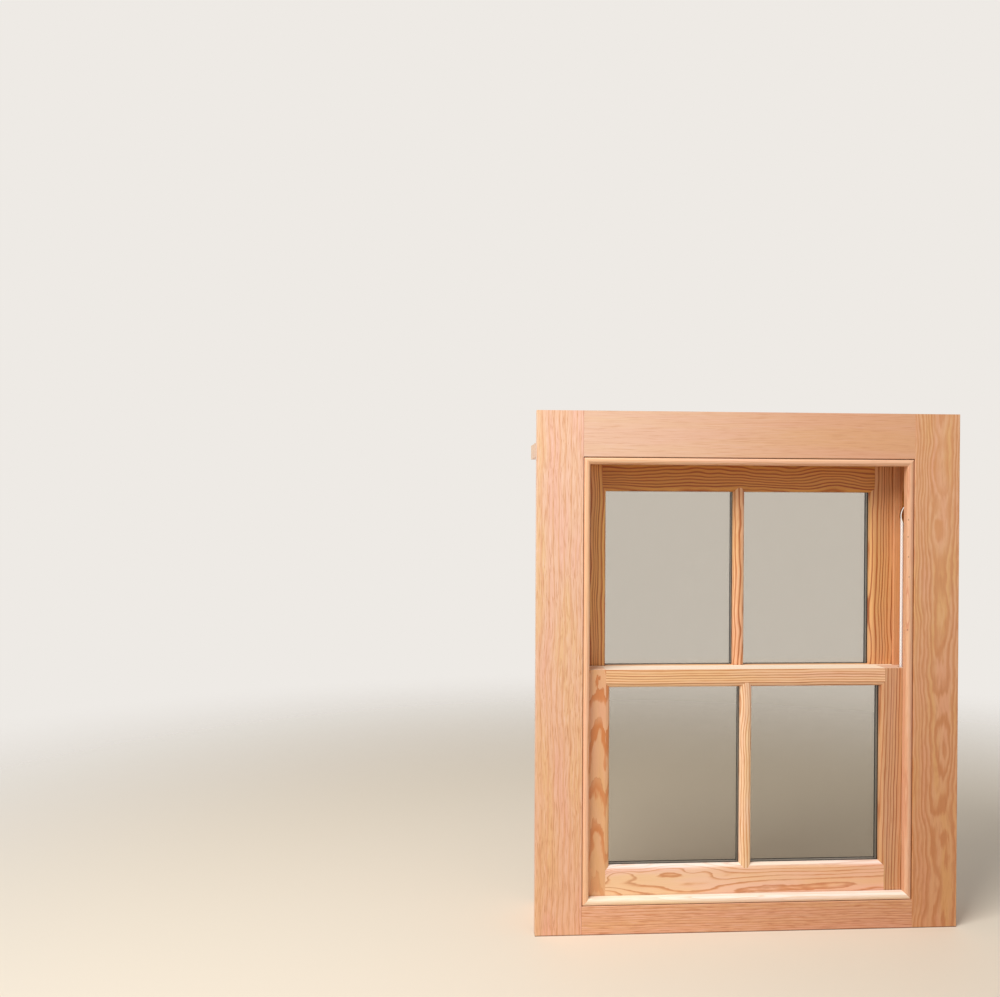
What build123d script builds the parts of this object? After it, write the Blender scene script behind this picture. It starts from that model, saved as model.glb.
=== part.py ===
"""A small double-hung box sash window: two sliding sashes, balanced by cords, pulleys and iron weights
that hang inside a hollow timber frame.

Millimetres. X runs right as seen from the room, the room face looks towards -Y and Z is up. The origin
is at the bottom centre of the whole window. Inside this script a depth is counted from the room face
of the inner linings, and place_y turns it into Y.
"""
from build123d import *
import math
import os

# Sizes of one pane, as seen between the mouldings
pane_width = 264.0
pane_height = 355.0

# Sash members
sash_thickness = 44.0
stile_width = 56.0
top_rail_height = 64.7
meeting_rail_height = 35.5
bottom_rail_height = 71.2
bar_flat = 7.0

# The moulding round each pane, on the room side, and the glass rebate behind it
moulding_width = 8.0
moulding_depth = 13.0
moulding_step = 0.8
moulding_nose = 4.0
tenon_wall = 3.0
tenon_thickness = 12.0
tenon_haunch = 12.0
tenon_clearance = 0.1
mortise_end_gap = 1.0
bar_tenon_length = 15.0

# Sealed glass units and the beads that hold them
glass_thickness = 3.0
glass_spacing = 12.0
glass_edge_clearance = 1.0
glazing_bead_setback = 4.0
glazing_bead_splay = 4.5

# Running clearances of the sashes
sash_side_gap = 1.5
sash_play = 1.25
seat_gap = 0.3
meeting_gap = 1.0

# The box frame
lining_width = 92.0
lining_thickness = 18.0
lining_overhang = 18.0
head_lining_height = 90.0
pulley_stile_thickness = 20.0
back_lining_thickness = 7.0
arris_radius = 1.0
head_thickness = 28.0
tongue_length = 6.0
tongue_thickness = 8.0
tongue_clearance = 0.1
housing_depth = 6.0

# Beads
staff_bead_width = 14.0
bead_round = 5.5
parting_bead_thickness = 8.0
parting_bead_projection = 12.0
parting_bead_groove = 8.0
bead_clearance = 0.1
outer_lining_lap = 14.0

# Sill
sill_height = 56.0
sill_slope_deg = 7.0
sill_nose = 38.0
sill_housing_depth = 4.0
throat_width = 8.0
throat_depth = 6.0
throat_inset = 14.0

# Cord, pulley and weight
cord_diameter = 6.0
cord_groove_depth = 11.0
cord_groove_floor_gap = 3.0
cord_groove_side_gap = 1.5
cord_groove_tail = 20.0
cord_fixing_margin = 39.0
pulley_drop = 113.0
wheel_hub_radius = 8.0
wheel_lip = 1.9
wheel_side_gap = 1.0
hub_side_gap = 0.3
cord_side_room = 0.6
cord_seat_clearance = 0.2
axle_diameter = 8.0
axle_running_clearance = 0.075
axle_seat_clearance = 0.05
case_cheek = 3.0
case_margin = 3.0
case_behind_axle = 10.5
faceplate_width = 27.0
faceplate_end = 22.0
faceplate_thickness = 3.0
faceplate_screw_inset = 9.0
recess_clearance = 0.2
mortise_clearance = 0.5
screw_diameter = 3.4
screw_head_diameter = 7.0
screw_tip_cover = 2.0
screw_clearance = 0.05
weight_side_gap = 1.75
weight_stile_gap = 2.0
weight_edge = 3.0
weight_neck_radius = 10.0
weight_neck_height = 14.0
weight_shoulder = 8.0
weight_hole_clearance = 0.5
weight_hole_end_gap = 5.0
weight_cord_depth = 25.0
lower_weight_length = 318.0
upper_weight_length = 334.0
weight_top_gap = 7.0
weight_floor_gap = 10.0

# Pocket through which a weight is reached, and the slip that parts the weights
pocket_length = 340.0
pocket_level = 104.0
pocket_front_wall = 4.0
pocket_kerf = 0.4
pocket_bevel = 12.0
pocket_screw_rise = 20.0
slip_thickness = 5.0
slip_side_gap = 0.5
slip_foot_gap = 22.0
slip_head_rise = 25.0
slip_clearance = 0.3
nail_diameter = 3.0
nail_clearance = 0.05
nail_length = 16.0

# Places across the width
bar_width = bar_flat + 2 * moulding_width
half_sight = pane_width + bar_width / 2
sash_edge = half_sight + stile_width
stile_face = sash_edge + sash_side_gap
stile_back = stile_face + pulley_stile_thickness
half_width = stile_face + lining_width
box_half_width = half_width - lining_overhang
back_lining_face = box_half_width - back_lining_thickness
outer_lining_edge = stile_face - outer_lining_lap
moulding_start = half_sight + moulding_width
tenon_length = stile_width - moulding_width - cord_groove_depth - tenon_wall

# Places through the depth
lower_face = lining_thickness + sash_play
lower_back = lower_face + sash_thickness
parting_front = lower_back + sash_play
parting_back = parting_front + parting_bead_thickness
upper_face = parting_back + sash_play
upper_back = upper_face + sash_thickness
outer_front = upper_back + sash_play
outer_back = outer_front + lining_thickness
overall_depth = outer_back + sill_nose
lower_middle = lower_face + sash_thickness / 2
upper_middle = upper_face + sash_thickness / 2
glass_front = moulding_depth
glass_back = glass_front + 2 * glass_thickness + glass_spacing
glazing_bead_depth = sash_thickness - glass_back - glazing_bead_setback

# Levels
lower_bottom = sill_height + seat_gap
lower_sight_bottom = lower_bottom + bottom_rail_height
lower_sight_top = lower_sight_bottom + pane_height
lower_top = lower_sight_top + meeting_rail_height
upper_bottom = lower_sight_top
upper_sight_bottom = upper_bottom + meeting_rail_height
upper_sight_top = upper_sight_bottom + pane_height
upper_top = upper_sight_top + top_rail_height
soffit = upper_top + seat_gap
overall_height = soffit + head_lining_height
wheel_level = soffit - pulley_drop
sill_fall = math.tan(math.radians(sill_slope_deg))
sill_housing_level = sill_height - sill_fall * (outer_back - lining_thickness) - sill_housing_depth

# The parting slip hangs in the middle of the box
slip_x = (stile_back + back_lining_face) / 2
slip_width = back_lining_face - stile_back - 2 * slip_side_gap
slip_depth = (parting_front + parting_back) / 2

# The weight fills its half of the box, and the wheel reaches from the cord on the sash to the weight
weight_radius = sash_thickness / 2 + sash_play - weight_side_gap
cord_sash_x = sash_edge - cord_groove_depth + cord_groove_floor_gap + cord_diameter / 2
cord_weight_x = stile_back + weight_stile_gap + weight_radius
wheel_x = (cord_sash_x + cord_weight_x) / 2
cord_pitch_radius = wheel_x - cord_sash_x
wheel_radius = cord_pitch_radius + cord_diameter / 2
wheel_groove_half = cord_diameter / 2 + cord_side_room
wheel_thickness = 2 * (wheel_groove_half + wheel_lip)
cord_groove_width = wheel_thickness + 2 * cord_groove_side_gap
cord_fixing_drop = pulley_drop + wheel_radius + cord_fixing_margin
cord_groove_length = cord_fixing_drop + cord_groove_tail
case_half = wheel_radius + case_margin
faceplate_length = 2 * (case_half + case_cheek + faceplate_end)
screw_length = pulley_stile_thickness - screw_tip_cover
weight_top_high = wheel_level - wheel_radius - weight_top_gap

edge_tolerance = 0.01
parts = {}


def place_y(depth):
    """Y of a depth behind the room face."""
    return depth - overall_depth / 2


def sill_top(depth):
    """Level of the sill's weathered top at a depth."""
    return sill_height - sill_fall * max(0.0, depth - lining_thickness)


def block(x0, x1, d0, d1, z0, z1):
    """A rectangular block between two places across, two depths and two levels."""
    centre = Pos((x0 + x1) / 2, place_y((d0 + d1) / 2), (z0 + z1) / 2)
    return centre * Box(abs(x1 - x0), abs(d1 - d0), abs(z1 - z0))


def prism_across(points, x0, x1):
    """A prism along X whose outline is given as (depth, level) points."""
    face = make_face(Polyline([(place_y(d), z) for d, z in points], close=True))
    return extrude(Plane.YZ.offset(x0) * face, x1 - x0)


def rod_up(x, depth, z0, z1, diameter):
    """A round rod standing along Z."""
    return Pos(x, place_y(depth), (z0 + z1) / 2) * Cylinder(diameter / 2, z1 - z0)


def rod_through(x, d0, d1, z, diameter):
    """A round rod lying along Y."""
    return Pos(x, place_y((d0 + d1) / 2), z) * Rot(90, 0, 0) * Cylinder(diameter / 2, d1 - d0)


def rod_across(x0, x1, depth, z, diameter):
    """A round rod lying along X."""
    return Pos((x0 + x1) / 2, place_y(depth), z) * Rot(0, 90, 0) * Cylinder(diameter / 2, x1 - x0)


def mirrored(shape):
    """The same piece on the left-hand side."""
    return mirror(shape, about=Plane.YZ)


def eased(shape, direction, places):
    """Round the arrises along a direction that pass through (across, depth, level) places.

    None in a place stands for any value.
    """
    chosen = []
    for edge in shape.edges().filter_by(direction):
        middle = edge.center()
        for across, depth, level in places:
            wanted = (across, None if depth is None else place_y(depth), level)
            misses = [abs(a - b) for a, b in zip((middle.X, middle.Y, middle.Z), wanted) if b is not None]
            if max(misses) < edge_tolerance:
                chosen.append(edge)
    return fillet(chosen, arris_radius)


def keep(name, shape):
    """Record a finished piece under its node name."""
    parts[name] = shape


def keep_pair(name, right_piece):
    """Record a right-hand piece and its mirrored twin."""
    keep(name + "_left", mirrored(right_piece))
    keep(name + "_right", right_piece)


def mitred_member(inner_length, width, section):
    """A member along X with mitred ends. Its inner edge is at Z 0 and its body hangs below.

    section is a face whose first coordinate is the depth and whose second runs down from the inner edge.
    """
    half = inner_length / 2
    bar = extrude(Plane.YZ * section, half + width, both=True)
    outline = Polyline([(-half, 0), (half, 0), (half + width, -width), (-half - width, -width)], close=True)
    limits = extrude(Plane.XZ * make_face(outline), overall_depth, both=True)
    return bar & limits


def mitred_frame(x0, x1, z0, z1, width, section):
    """Four mitred members round the opening x0 to x1, z0 to z1."""
    across = mitred_member(x1 - x0, width, section)
    upright = mitred_member(z1 - z0, width, section)
    middle_x = (x0 + x1) / 2
    middle_z = (z0 + z1) / 2
    return {
        "bottom": Pos(middle_x, 0, z0) * across,
        "top": Pos(middle_x, 0, z1) * Rot(0, 180, 0) * across,
        "left": Pos(x0, 0, middle_z) * Rot(0, 90, 0) * upright,
        "right": Pos(x1, 0, middle_z) * Rot(0, -90, 0) * upright,
    }


def moulding_section(face_depth):
    """The ovolo round a pane: a small step down from the face, then a quarter round to the sight edge."""
    front = place_y(face_depth)
    back = front + moulding_depth
    shoulder = front + moulding_step
    nose = back - moulding_nose
    rise = nose - shoulder
    bulge = 1 - math.sqrt(0.5)
    curve = ThreePointArc(
        (shoulder, -moulding_width), (shoulder + rise * bulge, -moulding_width * bulge), (nose, 0)
    )
    straight = Polyline((nose, 0), (back, 0), (back, -moulding_width), (shoulder, -moulding_width))
    return make_face(curve + straight)


def glazing_bead_section(face_depth):
    """A splayed bead that holds the glass from outside."""
    front = place_y(face_depth + glass_back)
    back = front + glazing_bead_depth
    points = [(front, 0), (back, -glazing_bead_splay), (back, -moulding_width), (front, -moulding_width)]
    return make_face(Polyline(points, close=True))


def staff_bead_section():
    """The rounded bead in the angle between lining and sash."""
    front = place_y(0)
    back = place_y(lining_thickness)
    curve = ThreePointArc(
        (front + bead_round, 0), (front, -staff_bead_width / 2), (front + bead_round, -staff_bead_width)
    )
    straight = Polyline(
        (front + bead_round, -staff_bead_width), (back, -staff_bead_width), (back, 0), (front + bead_round, 0)
    )
    return make_face(curve + straight)


def make_sill():
    """The weathered sill, notched round the linings and housed for stiles and back linings."""
    nose_top = sill_top(overall_depth)
    outline = [
        (0, 0), (0, sill_height), (lining_thickness, sill_height), (overall_depth, nose_top),
        (overall_depth, 0), (overall_depth - throat_inset, 0),
        (overall_depth - throat_inset, throat_depth),
        (overall_depth - throat_inset - throat_width, throat_depth),
        (overall_depth - throat_inset - throat_width, 0),
    ]
    sill = prism_across(outline, -box_half_width, box_half_width)
    nose = [(None, overall_depth, nose_top), (None, overall_depth, 0)]
    sill = eased(sill, Axis.X, [(None, 0, sill_height)] + nose)
    for side in (-1, 1):
        sill -= block(side * stile_face, side * box_half_width, 0, lining_thickness, 0, sill_height)
        sill -= block(side * stile_face, side * stile_back, lining_thickness, outer_front,
                      sill_housing_level, sill_height)
        sill -= block(side * back_lining_face, side * box_half_width, lining_thickness, outer_front,
                      sill_housing_level, sill_height)
        sill -= block(side * stile_face, side * stile_back, outer_front, outer_front + tongue_length,
                      sill_housing_level, sill_height)
    keep("sill", sill)


def stile_tongue(depth_edge, depth_tip, grow):
    """The tongue on one edge of the right pulley stile, or its groove when grow is the clearance."""
    middle = (stile_face + stile_back) / 2
    half = tongue_thickness / 2 + grow
    tip = depth_tip + math.copysign(grow, depth_tip - depth_edge)
    return block(middle - half, middle + half, depth_edge, tip, sill_housing_level, soffit + housing_depth)


def make_linings():
    """The boards that face the boxes and the head, inside and outside."""
    inner = block(stile_face, half_width, 0, lining_thickness, 0, overall_height)
    inner = eased(inner, Axis.Z, [(stile_face, 0, None), (half_width, 0, None)])
    inner -= stile_tongue(lining_thickness, lining_thickness - tongue_length, tongue_clearance)
    keep_pair("inner_lining", inner)

    outline = [
        (outer_front, sill_top(outer_front)), (outer_back, sill_top(outer_back)),
        (outer_back, overall_height), (outer_front, overall_height),
    ]
    outer = prism_across(outline, outer_lining_edge, box_half_width)
    outer = eased(outer, Axis.Z, [(outer_lining_edge, outer_back, None), (box_half_width, outer_back, None)])
    outer -= stile_tongue(outer_front, outer_front + tongue_length, tongue_clearance)
    keep_pair("outer_lining", outer)

    inner_head = block(-stile_face, stile_face, 0, lining_thickness, soffit, overall_height)
    inner_head = eased(inner_head, Axis.X, [(None, 0, soffit)])
    inner_head -= head_tongue(lining_thickness, lining_thickness - tongue_length, tongue_clearance,
                              stile_face)
    keep("inner_lining_head", inner_head)

    outer_head = block(-outer_lining_edge, outer_lining_edge, outer_front, outer_back,
                       soffit - outer_lining_lap, overall_height)
    outer_head = eased(outer_head, Axis.X, [(None, outer_back, soffit - outer_lining_lap)])
    outer_head -= head_tongue(outer_front, outer_front + tongue_length, tongue_clearance, stile_face)
    keep("outer_lining_head", outer_head)

    back = block(back_lining_face, box_half_width, lining_thickness, outer_front,
                 sill_housing_level, soffit)
    keep_pair("back_lining", back)


def head_tongue(depth_edge, depth_tip, grow, reach):
    """The tongue on one edge of the head, or its groove when grow is the clearance."""
    middle = soffit + head_thickness / 2
    half = tongue_thickness / 2 + grow
    tip = depth_tip + math.copysign(grow, depth_tip - depth_edge)
    return block(-reach, reach, depth_edge, tip, middle - half, middle + half)


def slip_block(grow, z0, z1):
    """The parting slip of the right box, or its slot in the head when grow is the clearance."""
    half_x = slip_width / 2 + grow
    half_d = slip_thickness / 2 + grow
    return block(slip_x - half_x, slip_x + half_x, slip_depth - half_d, slip_depth + half_d, z0, z1)


def make_head():
    """The head board, out to the edges of the inner linings, grooved and housed over the pulley stiles."""
    head = block(-half_width, half_width, lining_thickness, outer_front,
                 soffit, soffit + head_thickness)
    inner_reach = stile_face - tongue_clearance
    outer_reach = outer_lining_edge - tongue_clearance
    head += head_tongue(lining_thickness, lining_thickness - tongue_length, 0, inner_reach)
    head += head_tongue(outer_front, outer_front + tongue_length, 0, outer_reach)
    head -= block(-stile_face, stile_face, parting_front - bead_clearance, parting_back + bead_clearance,
                  soffit, soffit + parting_bead_groove + bead_clearance)
    slot = slip_block(slip_clearance, soffit, soffit + head_thickness)
    for side in (-1, 1):
        head -= block(side * stile_face, side * stile_back, lining_thickness, outer_front,
                      soffit, soffit + housing_depth)
    head = head - slot - mirrored(slot)
    keep("head", head)


def make_slips():
    """The thin slips that keep the two weights of a box apart. Returns the nail that hangs the right one."""
    foot = sill_height + slip_foot_gap
    tip = soffit + head_thickness + slip_head_rise
    slip = slip_block(0, foot, tip)
    level = soffit + head_thickness + nail_diameter / 2
    half_nail = nail_length / 2
    hole = rod_through(slip_x, slip_depth - half_nail, slip_depth + half_nail, level,
                       nail_diameter + 2 * nail_clearance)
    keep_pair("parting_slip", slip - hole)
    return rod_through(slip_x, slip_depth - half_nail, slip_depth + half_nail, level, nail_diameter)


def pocket_outline(grow):
    """The pocket's outline as (depth, level), with its upper end cut on a slant."""
    front = lining_thickness + pocket_front_wall + grow
    back = parting_front - bead_clearance - grow
    low = pocket_level + grow
    high = pocket_level + pocket_length - grow
    return [(front, low), (back, low), (back, high - pocket_bevel), (front, high)]


def faceplate(depth, grow, x0, x1):
    """The round-ended faceplate, or its recess when grow is the clearance."""
    half = faceplate_width / 2 + grow
    straight = faceplate_length / 2 - faceplate_width / 2
    plate = block(x0, x1, depth - half, depth + half, wheel_level - straight, wheel_level + straight)
    for end in (-1, 1):
        plate += rod_across(x0, x1, depth, wheel_level + end * straight, 2 * half)
    return plate


def screw_levels():
    """Levels of the two screws in a faceplate."""
    reach = faceplate_length / 2 - faceplate_screw_inset
    return [wheel_level - reach, wheel_level + reach]


def screw_across(depth, level, grow):
    """A countersunk screw driven outwards from the stile's face, or its hole when grow is the clearance."""
    head_height = (screw_head_diameter - screw_diameter) / 2
    cone = Cone(screw_head_diameter / 2 + grow, screw_diameter / 2 + grow, head_height)
    head = Pos(stile_face + head_height / 2, place_y(depth), level) * Rot(0, 90, 0) * cone
    shank = rod_across(stile_face + head_height, stile_face + screw_length + grow, depth, level,
                       screw_diameter + 2 * grow)
    return head + shank


def make_pulleys():
    """Cases, wheels, axles and screws of the four axle pulleys."""
    case_inner = wheel_thickness / 2 + wheel_side_gap
    case_outer = case_inner + case_cheek
    plate_back = stile_face + faceplate_thickness
    case_back = wheel_x + axle_diameter / 2 + case_behind_axle
    axles = []
    screws = []
    for sash, depth in (("lower", lower_middle), ("upper", upper_middle)):
        shell = block(plate_back, case_back, depth - case_outer, depth + case_outer,
                      wheel_level - case_half - case_cheek, wheel_level + case_half + case_cheek)
        case = faceplate(depth, 0, stile_face, plate_back) + shell
        case -= block(stile_face, case_back, depth - case_inner, depth + case_inner,
                      wheel_level - case_half, wheel_level + case_half)
        case -= rod_through(wheel_x, depth - case_outer, depth + case_outer, wheel_level,
                            axle_diameter + 2 * axle_seat_clearance)
        for level in screw_levels():
            case -= screw_across(depth, level, screw_clearance)
            screws.append(screw_across(depth, level, 0))
        keep_pair("pulley_case_" + sash, case)

        groove_bottom = cord_pitch_radius - cord_diameter / 2 - cord_seat_clearance
        half = wheel_thickness / 2
        hub_half = case_inner - hub_side_gap
        bore = axle_diameter / 2 + axle_running_clearance
        groove = ThreePointArc((wheel_radius, -wheel_groove_half), (groove_bottom, 0),
                               (wheel_radius, wheel_groove_half))
        rest = Polyline(
            (wheel_radius, wheel_groove_half), (wheel_radius, half), (wheel_hub_radius, half),
            (wheel_hub_radius, hub_half), (bore, hub_half), (bore, -hub_half),
            (wheel_hub_radius, -hub_half), (wheel_hub_radius, -half), (wheel_radius, -half),
            (wheel_radius, -wheel_groove_half),
        )
        wheel = revolve(make_face(groove + rest), Axis.Y)
        keep_pair("pulley_wheel_" + sash, Pos(wheel_x, place_y(depth), wheel_level) * wheel)
        axles.append(rod_through(wheel_x, depth - case_outer, depth + case_outer, wheel_level, axle_diameter))
    keep("pulley_axles", Compound(children=axles + [mirrored(axle) for axle in axles]))
    keep("pulley_screws", Compound(children=screws + [mirrored(screw) for screw in screws]))


def make_pulley_stiles(slip_nail):
    """The pulley stiles with their mortises, recesses, bead grooves and pockets, and the pocket pieces."""
    stile = block(stile_face, stile_back, lining_thickness, outer_front,
                  sill_housing_level, soffit + housing_depth)
    inner_tip = lining_thickness - tongue_length
    stile += stile_tongue(lining_thickness, inner_tip, 0) & block(
        stile_face, stile_back, inner_tip, lining_thickness, sill_housing_level, soffit)
    stile += stile_tongue(outer_front, outer_front + tongue_length, 0) & block(
        stile_face, stile_back, outer_front, outer_front + tongue_length, sill_housing_level, soffit)
    stile -= block(stile_face, stile_face + parting_bead_groove + bead_clearance,
                   parting_front - bead_clearance, parting_back + bead_clearance, 0, overall_height)
    mortise_half = case_half + case_cheek + mortise_clearance
    case_outer = wheel_thickness / 2 + wheel_side_gap + case_cheek + mortise_clearance
    for depth in (lower_middle, upper_middle):
        stile -= block(stile_face, stile_back, depth - case_outer, depth + case_outer,
                       wheel_level - mortise_half, wheel_level + mortise_half)
        stile -= faceplate(depth, recess_clearance, stile_face, stile_face + faceplate_thickness)
        for level in screw_levels():
            stile -= screw_across(depth, level, screw_clearance)
    stile -= prism_across(pocket_outline(0), stile_face, stile_back)
    keep_pair("pulley_stile", stile)

    pocket = prism_across(pocket_outline(pocket_kerf), stile_face, stile_back)
    pocket_middle = (lining_thickness + pocket_front_wall + parting_front) / 2
    pocket_screw_level = pocket_level + pocket_screw_rise
    pocket -= screw_across(pocket_middle, pocket_screw_level, screw_clearance)
    keep_pair("pocket_piece", pocket)
    fixings = [screw_across(pocket_middle, pocket_screw_level, 0), slip_nail]
    keep("pocket_screws_and_slip_nails", Compound(children=fixings + [mirrored(piece) for piece in fixings]))


def make_beads():
    """The mitred staff beads and the parting beads."""
    members = mitred_frame(
        -stile_face + staff_bead_width, stile_face - staff_bead_width,
        sill_height + staff_bead_width, soffit - staff_bead_width,
        staff_bead_width, staff_bead_section(),
    )
    for side, member in members.items():
        keep("staff_bead_" + side, member)

    side_foot = sill_top(parting_front)
    inner_edge = stile_face - parting_bead_projection
    upright = block(inner_edge, stile_face + parting_bead_groove, parting_front, parting_back,
                    side_foot, soffit)
    upright = eased(upright, Axis.Z, [(inner_edge, parting_front, None), (inner_edge, parting_back, None)])
    upright -= block(stile_face, stile_back, parting_front, parting_back, 0, sill_height)
    keep_pair("parting_bead", upright)
    across = inner_edge - bead_clearance
    keep("parting_bead_head", block(-across, across, parting_front, parting_back,
                                    soffit - parting_bead_projection, soffit + parting_bead_groove))


def tenon(side, face_depth, z0, z1, grow):
    """A rail's tenon on one side, or its mortise when grow is the clearance."""
    middle = face_depth + sash_thickness / 2
    half = tenon_thickness / 2 + grow
    tip = moulding_start + tenon_length
    if grow > 0:
        tip += mortise_end_gap
    return block(side * moulding_start, side * tip, middle - half, middle + half, z0 - grow, z1 + grow)


def bar_tenon(face_depth, z0, z1, grow):
    """The glazing bar's tenon into a rail, or its mortise when grow is the clearance."""
    middle = face_depth + sash_thickness / 2
    half_d = tenon_thickness / 2 + grow
    half_x = bar_flat / 2 + grow
    return block(-half_x, half_x, middle - half_d, middle + half_d, z0, z1)


def make_sash(name, face, bottom, sight_bottom, sight_top, top, low_rail, high_rail):
    """Stiles, rails, bar, glass, spacers and glazing beads of one sash.

    low_rail and high_rail are the names of the two rails.
    """
    back = face + sash_thickness
    rail_low_top = sight_bottom - moulding_width
    rail_high_bottom = sight_top + moulding_width
    panes = [(-half_sight, -bar_width / 2), (bar_width / 2, half_sight)]
    mouldings = [mitred_frame(x0, x1, sight_bottom, sight_top, moulding_width, moulding_section(face))
                 for x0, x1 in panes]

    # The underside follows the sill on the lower sash and is square on the upper one
    foot_front = bottom
    foot_back = bottom
    if name == "lower":
        foot_front = sill_top(face) + seat_gap
        foot_back = sill_top(back) + seat_gap

    low_span = (bottom + tenon_haunch, rail_low_top)
    high_span = (rail_high_bottom, top - tenon_haunch)
    stile = block(moulding_start, sash_edge, face, back, foot_back, top)
    stile = eased(stile, Axis.Z, [(sash_edge, face, None), (sash_edge, back, None)])
    stile += mouldings[1]["right"]
    stile -= tenon(1, face, low_span[0], low_span[1], tenon_clearance)
    stile -= tenon(1, face, high_span[0], high_span[1], tenon_clearance)
    middle = face + sash_thickness / 2
    stile -= block(sash_edge - cord_groove_depth, sash_edge, middle - cord_groove_width / 2,
                   middle + cord_groove_width / 2, top - cord_groove_length, top)

    low = block(-moulding_start, moulding_start, face, back, foot_back, rail_low_top)
    high = block(-moulding_start, moulding_start, face, back, rail_high_bottom, top)
    for moulding in mouldings:
        low += moulding["bottom"]
        high += moulding["top"]
    for side in (-1, 1):
        low += tenon(side, face, low_span[0], low_span[1], 0)
        high += tenon(side, face, high_span[0], high_span[1], 0)
    if foot_front > foot_back:
        waste = prism_across([(face, foot_back), (back, foot_back), (face, foot_front)],
                             -half_width, half_width)
        low -= waste
        stile -= waste

    bar_mortise = bar_tenon_length + mortise_end_gap
    low -= bar_tenon(face, rail_low_top - bar_mortise, rail_low_top, tenon_clearance)
    high -= bar_tenon(face, rail_high_bottom, rail_high_bottom + bar_mortise, tenon_clearance)

    # Each meeting rail is thickened by a splayed wedge that closes the gap between the sashes
    wedge_width = stile_face - parting_bead_projection - sash_side_gap
    wedge_depth = upper_face - lower_back - meeting_gap
    lean = moulding_width * wedge_depth / meeting_rail_height
    if name == "lower":
        outline = [(back, rail_high_bottom), (back + lean, rail_high_bottom),
                   (back + wedge_depth, top), (back, top)]
        high += prism_across(outline, -wedge_width, wedge_width)
    else:
        outline = [(face, bottom), (face - wedge_depth, bottom), (face - lean, rail_low_top),
                   (face, rail_low_top)]
        low += prism_across(outline, -wedge_width, wedge_width)

    keep_pair(name + "_stile", stile)
    keep(name + "_" + low_rail, low)
    keep(name + "_" + high_rail, high)

    bar = block(-bar_flat / 2, bar_flat / 2, face, face + glass_back + glazing_bead_depth,
                rail_low_top, rail_high_bottom)
    bar += mouldings[0]["right"]
    bar += mouldings[1]["left"]
    bar += bar_tenon(face, rail_low_top - bar_tenon_length, rail_low_top, 0)
    bar += bar_tenon(face, rail_high_bottom, rail_high_bottom + bar_tenon_length, 0)
    keep(name + "_glazing_bar", bar)

    bite = moulding_width - glass_edge_clearance
    inner_glass = []
    outer_glass = []
    spacers = []
    beads = []
    for x0, x1 in panes:
        edges = (x0 - bite, x1 + bite)
        levels = (sight_bottom - bite, sight_top + bite)
        gap_front = face + glass_front + glass_thickness
        gap_back = gap_front + glass_spacing
        inner_glass.append(block(edges[0], edges[1], face + glass_front, gap_front, levels[0], levels[1]))
        outer_glass.append(block(edges[0], edges[1], gap_back, face + glass_back, levels[0], levels[1]))
        ring = block(edges[0], edges[1], gap_front, gap_back, levels[0], levels[1])
        ring -= block(x0, x1, gap_front, gap_back, sight_bottom, sight_top)
        spacers.append(ring)
        frame = mitred_frame(x0, x1, sight_bottom, sight_top, moulding_width, glazing_bead_section(face))
        beads.extend(frame.values())
    keep(name + "_inner_panes", Compound(children=inner_glass))
    keep(name + "_outer_panes", Compound(children=outer_glass))
    keep(name + "_spacers", Compound(children=spacers))
    keep(name + "_glazing_beads", Compound(children=beads))


def cord(depth, fixing_level, weight_top):
    """One sash cord: up from the sash, over the wheel and down into the weight."""
    end_level = weight_top - weight_cord_depth
    start = (cord_sash_x, place_y(depth), fixing_level)
    rise = (cord_sash_x, place_y(depth), wheel_level)
    crown = (wheel_x, place_y(depth), wheel_level + cord_pitch_radius)
    fall = (cord_weight_x, place_y(depth), wheel_level)
    end = (cord_weight_x, place_y(depth), end_level)
    path = Line(start, rise) + ThreePointArc(rise, crown, fall) + Line(fall, end)
    section = Plane(origin=start, x_dir=(1, 0, 0), z_dir=(0, 0, 1)) * Circle(cord_diameter / 2)
    return sweep(section, path=path)


def weight(depth, top, length):
    """A cast weight with a tapered neck and a hole for the cord."""
    radius = weight_radius
    bottom = top - length
    shoulder = top - weight_neck_height
    points = [
        (0, bottom), (radius - weight_edge, bottom), (radius, bottom + weight_edge),
        (radius, shoulder - weight_shoulder), (weight_neck_radius, shoulder),
        (weight_neck_radius, top), (0, top),
    ]
    outline = Plane.XZ * make_face(Polyline(points, close=True))
    body = Pos(cord_weight_x, place_y(depth), 0) * revolve(outline, Axis.Z)
    hole = rod_up(cord_weight_x, depth, top - weight_cord_depth - weight_hole_end_gap, top,
                  cord_diameter + 2 * weight_hole_clearance)
    return body - hole


def make_cords_and_weights():
    """The cords as they lie with both sashes closed, and the weights on them."""
    lower_top_of_weight = weight_top_high
    upper_top_of_weight = sill_top(upper_middle) + weight_floor_gap + upper_weight_length
    keep_pair("cord_lower", cord(lower_middle, lower_top - cord_fixing_drop, lower_top_of_weight))
    keep_pair("cord_upper", cord(upper_middle, upper_top - cord_fixing_drop, upper_top_of_weight))
    keep_pair("weight_lower", weight(lower_middle, lower_top_of_weight, lower_weight_length))
    keep_pair("weight_upper", weight(upper_middle, upper_top_of_weight, upper_weight_length))


make_sill()
make_linings()
make_head()
make_pulleys()
make_pulley_stiles(make_slips())
make_beads()
make_sash("lower", lower_face, lower_bottom, lower_sight_bottom, lower_sight_top, lower_top,
          "bottom_rail", "meeting_rail")
make_sash("upper", upper_face, upper_bottom, upper_sight_bottom, upper_sight_top, upper_top,
          "meeting_rail", "top_rail")
make_cords_and_weights()

os.makedirs("parts", exist_ok=True)
for name, shape in parts.items():
    export_step(shape, "parts/" + name + ".step")
print(len(parts), "pieces,", round(2 * half_width, 1), "x", round(overall_depth, 1), "x",
      round(overall_height, 1), "mm")
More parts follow.
